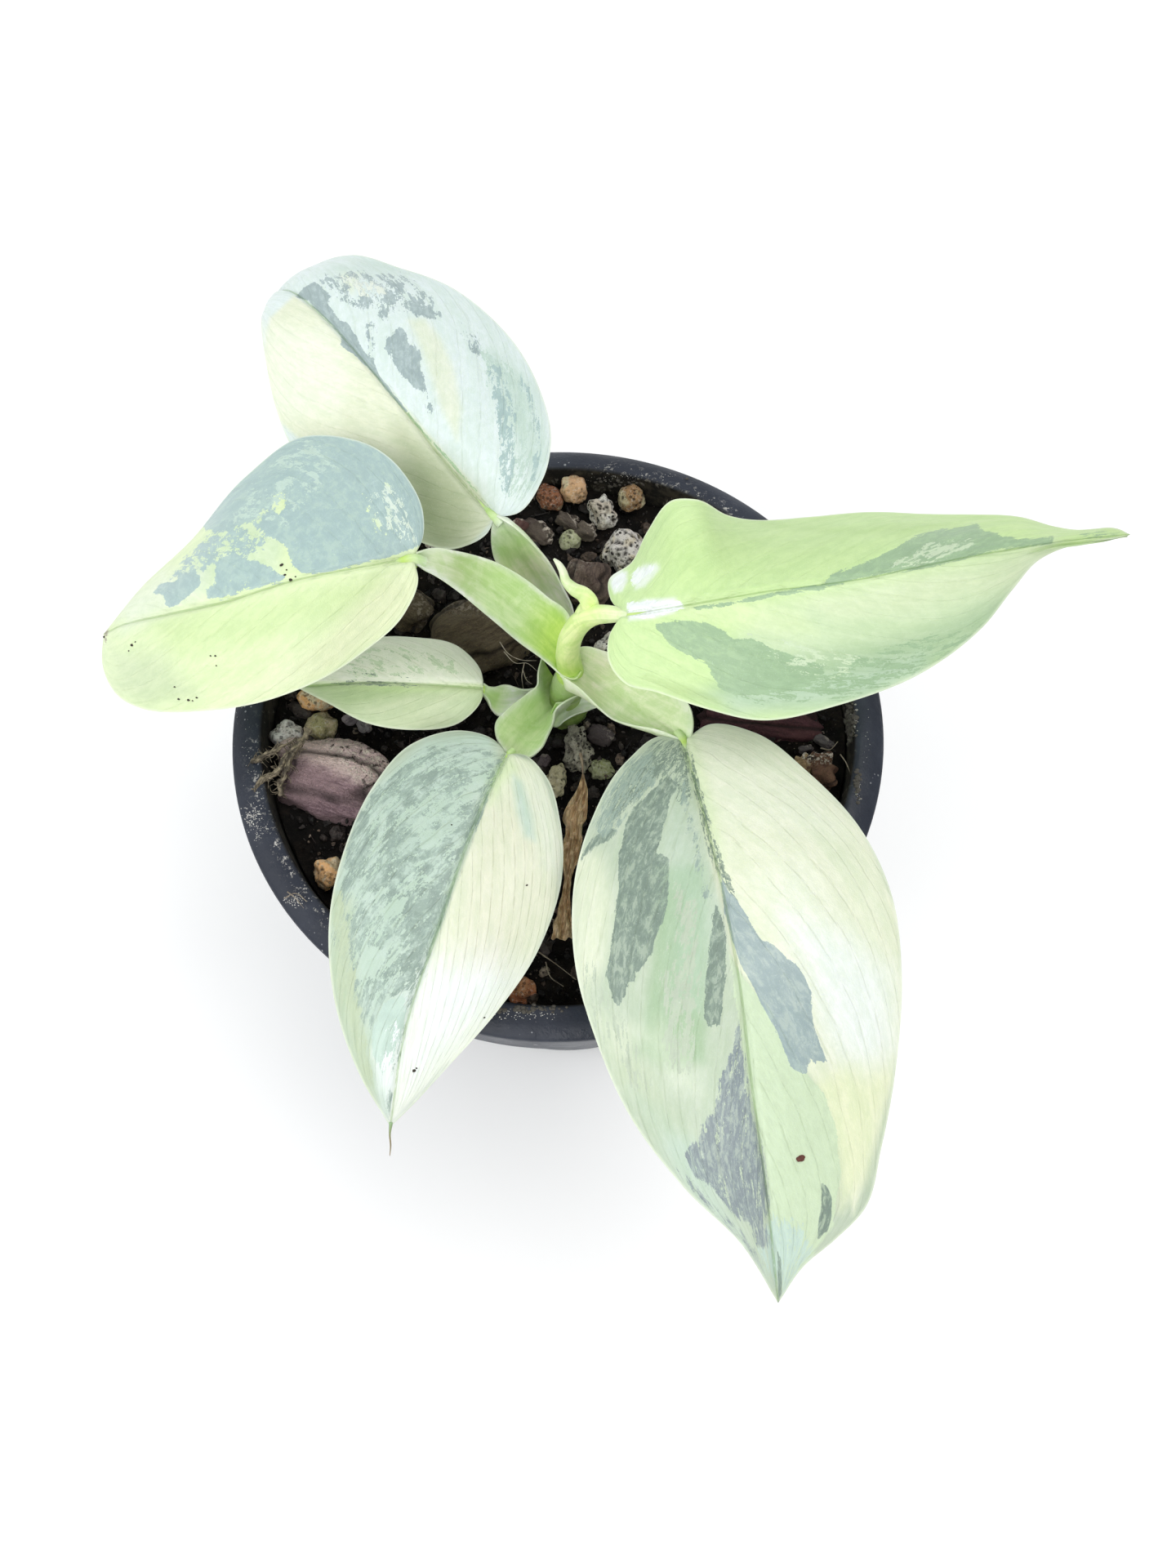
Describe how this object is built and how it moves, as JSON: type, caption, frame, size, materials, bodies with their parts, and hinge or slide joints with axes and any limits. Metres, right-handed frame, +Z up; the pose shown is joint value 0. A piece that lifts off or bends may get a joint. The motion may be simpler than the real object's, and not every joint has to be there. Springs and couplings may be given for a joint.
{
  "type": "potted variegated philodendron",
  "caption": "Young silver-leaved philodendron with cream and slate variegation, in a round black nursery pot filled with bark and pumice mix.",
  "frame": {"origin": "middle of the pot's flat underside", "axes": "+Z up; +X towards the new leaf at the right; -Y the front, with the two long leaves"},
  "size_m": [0.1487, 0.157, 0.1232],
  "materials": {
    "pot": "satin black, dusty, with pale mineral marks",
    "growing_mix": "dark, coarse and rough",
    "stem": "smooth fresh green",
    "leaf_right_new": "silvery green, slate and cream, satin",
    "leaf_front_right": "silvery green, slate and cream, satin",
    "leaf_front_left": "silvery green, slate and cream, satin",
    "leaf_left": "silvery green, slate and cream, satin",
    "leaf_back_left": "silvery green, slate and cream, satin",
    "leaf_small_left": "silvery green, slate and cream, satin",
    "pumice_far": "pitted and dull",
    "pumice_far_orange": "pitted and dull",
    "pumice_far_right": "pitted and dull",
    "pumice_back_white": "pitted and dull",
    "pumice_back_big": "pitted and dull",
    "pumice_back_green": "pitted and dull",
    "pumice_right_back": "pitted and dull",
    "pumice_crown_right": "pitted and dull",
    "pumice_left_white": "pitted and dull",
    "pumice_left_tan": "pitted and dull",
    "pumice_left_orange": "pitted and dull",
    "pumice_left_front": "pitted and dull",
    "pumice_centre_grey": "pitted and dull",
    "pumice_centre_tan": "pitted and dull",
    "pumice_centre_green": "pitted and dull",
    "pumice_front": "pitted and dull",
    "pumice_right_deep": "pitted and dull",
    "pumice_right_front": "pitted and dull",
    "pumice_front_right": "pitted and dull",
    "pumice_behind_left": "pitted and dull",
    "bark_left_purple": "flaky and dull",
    "bark_behind_small_leaf": "flaky and dull",
    "bark_back_left": "flaky and dull",
    "bark_back": "flaky and dull",
    "bark_back_long": "flaky and dull",
    "bark_right_red": "flaky and dull",
    "bark_right_small": "flaky and dull",
    "bark_front_left": "flaky and dull",
    "dry_husk": "papery",
    "dry_roots": "fibrous"
  },
  "bodies": {
    "root": {"pot": "pot", "growing_mix": "growing_mix", "stem": "stem", "leaf_right_new": "leaf_right_new", "leaf_front_right": "leaf_front_right", "leaf_front_left": "leaf_front_left", "leaf_left": "leaf_left", "leaf_back_left": "leaf_back_left", "leaf_small_left": "leaf_small_left", "pumice_far": "pumice_far", "pumice_far_orange": "pumice_far_orange", "pumice_far_right": "pumice_far_right", "pumice_back_white": "pumice_back_white", "pumice_back_big": "pumice_back_big", "pumice_back_green": "pumice_back_green", "pumice_right_back": "pumice_right_back", "pumice_crown_right": "pumice_crown_right", "pumice_left_white": "pumice_left_white", "pumice_left_tan": "pumice_left_tan", "pumice_left_orange": "pumice_left_orange", "pumice_left_front": "pumice_left_front", "pumice_centre_grey": "pumice_centre_grey", "pumice_centre_tan": "pumice_centre_tan", "pumice_centre_green": "pumice_centre_green", "pumice_front": "pumice_front", "pumice_right_deep": "pumice_right_deep", "pumice_right_front": "pumice_right_front", "pumice_front_right": "pumice_front_right", "pumice_behind_left": "pumice_behind_left", "bark_left_purple": "bark_left_purple", "bark_behind_small_leaf": "bark_behind_small_leaf", "bark_back_left": "bark_back_left", "bark_back": "bark_back", "bark_back_long": "bark_back_long", "bark_right_red": "bark_right_red", "bark_right_small": "bark_right_small", "bark_front_left": "bark_front_left", "dry_husk": "dry_husk", "dry_roots": "dry_roots"}
  },
  "joints": []
}
